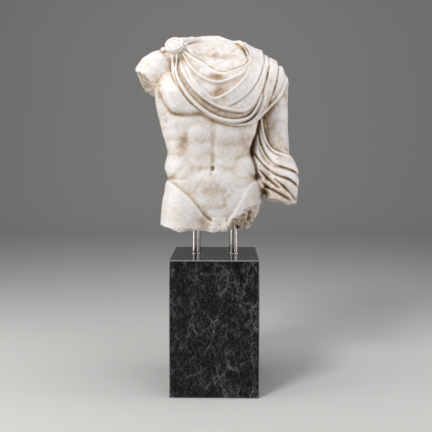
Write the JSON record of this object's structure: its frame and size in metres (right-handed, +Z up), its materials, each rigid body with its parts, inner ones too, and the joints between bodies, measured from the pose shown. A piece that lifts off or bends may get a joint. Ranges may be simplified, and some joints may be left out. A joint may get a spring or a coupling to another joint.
{
  "type": "marble torso sculpture",
  "caption": "Broken white marble torso of a youth in a cloak pinned at one shoulder, held by steel rods over a polished black marble plinth.",
  "frame": {"origin": "centre of the plinth's underside, where it stands on the floor", "axes": "+Z up, -Y towards the viewer of the figure's front, +X towards the figure's draped left arm"},
  "size_m": [0.5701, 0.3, 1.2371],
  "materials": {
    "torso": "weathered white marble",
    "rods": "polished steel",
    "plinth": "polished black marble with pale veins"
  },
  "bodies": {
    "root": {"torso": "torso", "rod_left": "rods", "rod_right": "rods", "plinth": "plinth"}
  },
  "joints": []
}
